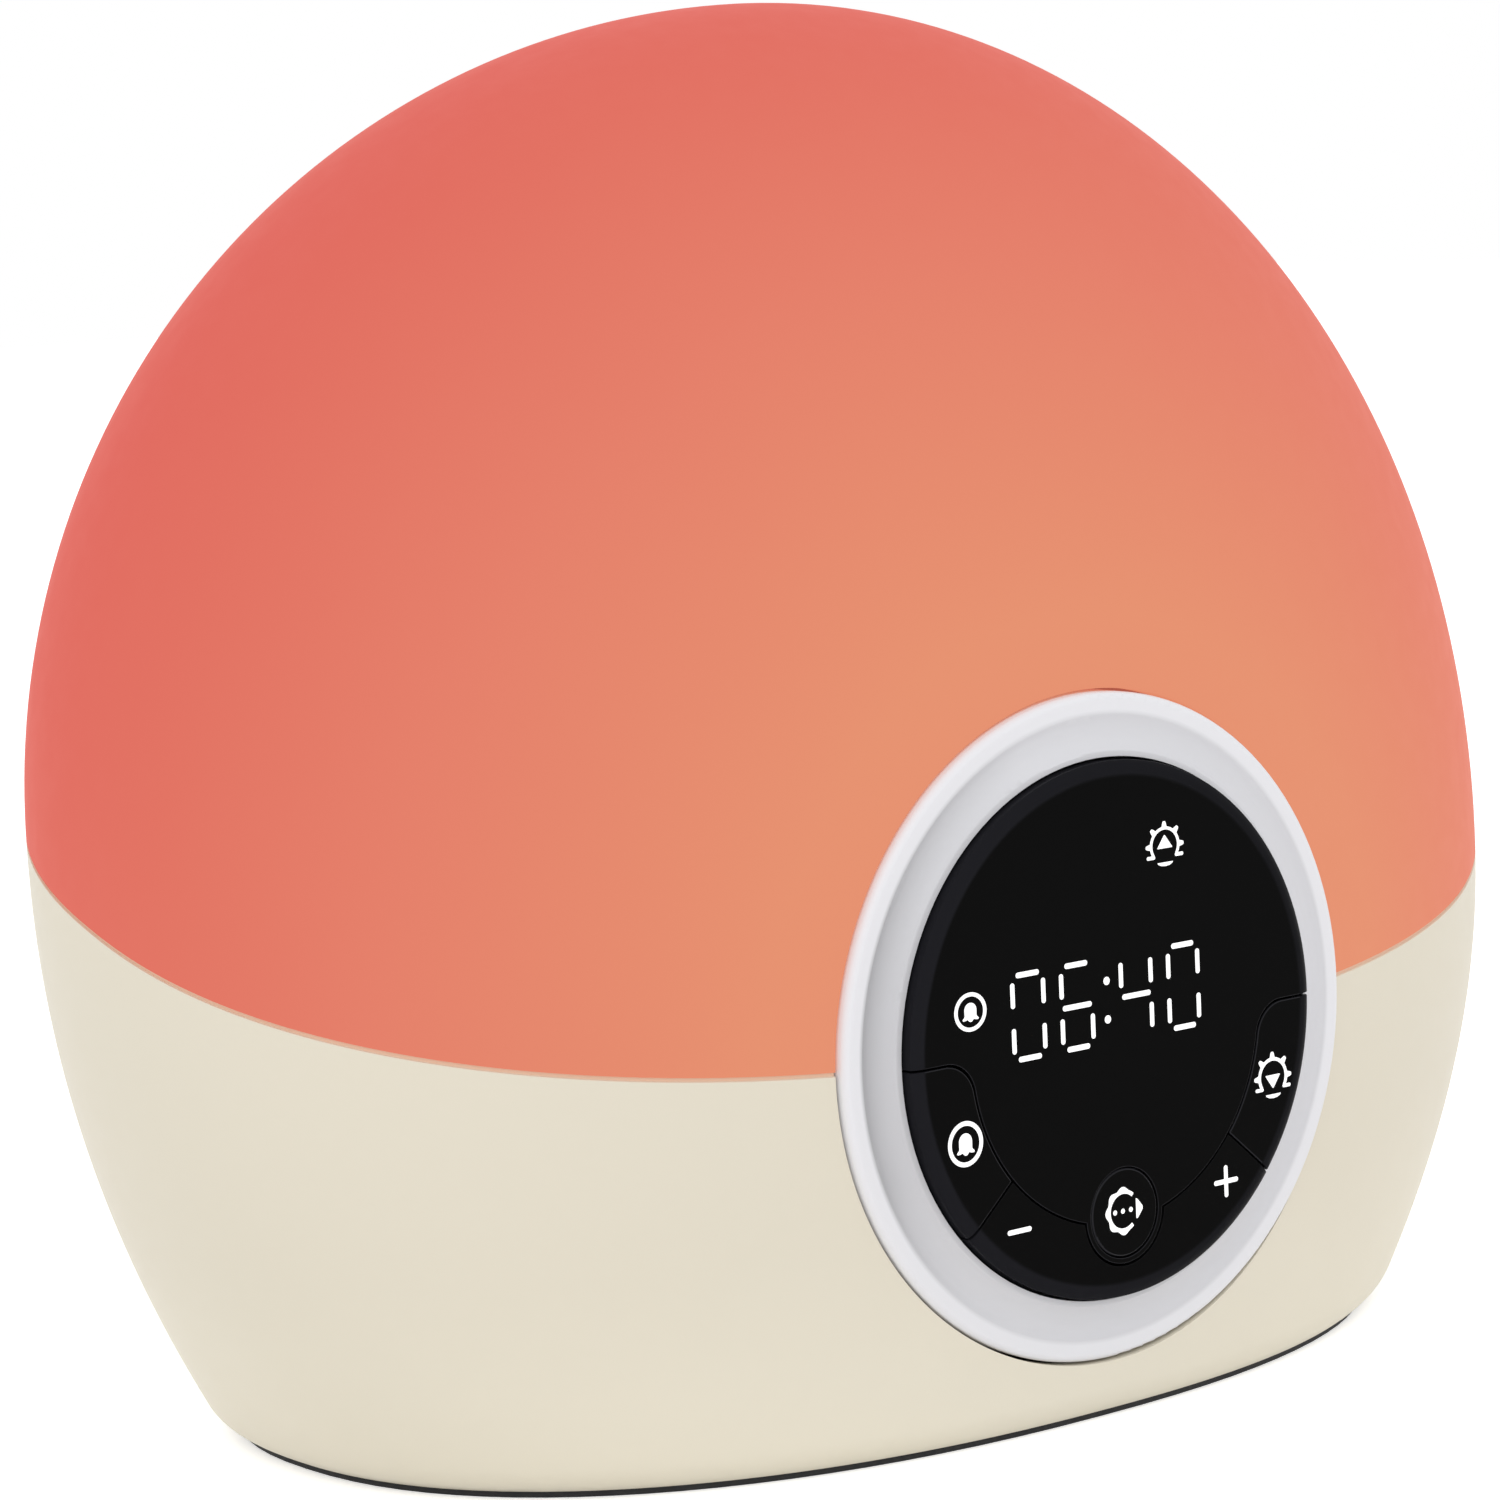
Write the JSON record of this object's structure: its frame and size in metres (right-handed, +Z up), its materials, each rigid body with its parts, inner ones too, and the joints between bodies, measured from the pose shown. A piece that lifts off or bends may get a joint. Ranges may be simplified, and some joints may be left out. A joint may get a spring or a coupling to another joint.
{
  "type": "sunrise alarm clock",
  "caption": "Sunrise alarm clock: a lit dome on a tapered housing, with a round control panel of a display, side keys, a round key and a rocker.",
  "frame": {"origin": "on the floor, under the middle of the body's box", "axes": "+X is the clock's right side seen from the front, -Y is the front, +Z is up"},
  "size_m": [0.19, 0.1067, 0.156],
  "materials": {
    "dome": "translucent satin plastic, tinted coral by the lamp's light",
    "seam": "pale satin gasket",
    "housing": "satin cream moulded plastic",
    "dark_plastic": "matt dark grey moulded plastic",
    "foot_rubber": "matt black rubber",
    "bezel": "satin white moulded plastic",
    "black_gloss": "glossy black plastic",
    "silicone": "matt silicone",
    "circuit_board": "green solder mask",
    "led_lens": "pale LED lens",
    "screw_steel": "plated steel",
    "white_plastic": "satin white plastic",
    "heat_aluminium": "plain aluminium",
    "lamp_circuit": "white solder mask",
    "capacitor_can": "sleeved can",
    "ribbon": "grey ribbon cable",
    "lead_red": "insulated wire"
  },
  "bodies": {
    "clock": {"diffuser_dome": "dome", "seam_gasket": "seam", "base_housing": "housing", "base_plate": "dark_plastic", "foot_ring": "foot_rubber", "bezel_ring": "bezel", "display_window": "black_gloss", "keypad_mat": "silicone", "panel_carrier": "dark_plastic", "display_board": "circuit_board", "led_display": "dark_plastic", "indicator_leds": "led_lens", "display_screws": "screw_steel", "bezel_screws": "screw_steel", "reflector_tray": "white_plastic", "heat_spreader": "heat_aluminium", "lamp_board": "lamp_circuit", "lamp_leds": "led_lens", "lamp_screws": "screw_steel", "tray_screws": "screw_steel", "main_board": "circuit_board", "main_chips": "dark_plastic", "capacitors": "capacitor_can", "board_connectors": "white_plastic", "speaker": "dark_plastic", "dc_jack": "dark_plastic", "board_screws": "screw_steel", "base_screws": "screw_steel", "ribbon_cable": "ribbon", "lamp_leads": "lead_red"},
    "alarm_button": {"alarm_key": "black_gloss"},
    "sunset_button": {"sunset_key": "black_gloss"},
    "light_button": {"light_key": "black_gloss"},
    "rocker": {"adjust_rocker": "black_gloss"}
  },
  "joints": [
    {"name": "alarm_key_press", "type": "slide", "parent": "clock", "child": "alarm_button", "axis": [0, 1, 0], "range_m": [0, 0.0008], "stiffness_N_per_m": 400, "deforming": ["keypad_mat"]},
    {"name": "sunset_key_press", "type": "slide", "parent": "clock", "child": "sunset_button", "axis": [0, 1, 0], "range_m": [0, 0.0008], "stiffness_N_per_m": 400, "deforming": ["keypad_mat"]},
    {"name": "light_key_press", "type": "slide", "parent": "clock", "child": "light_button", "axis": [0, 1, 0], "range_m": [0, 0.0008], "stiffness_N_per_m": 400, "deforming": ["keypad_mat"]},
    {"name": "rocker_tilt", "type": "hinge", "parent": "clock", "child": "rocker", "pos_m": [0, -0.0501, 0.0236], "axis": [0, 0, 1], "range_deg": [-2, 2], "stiffness_Nm_per_rad": 0.9, "deforming": ["keypad_mat"]}
  ]
}
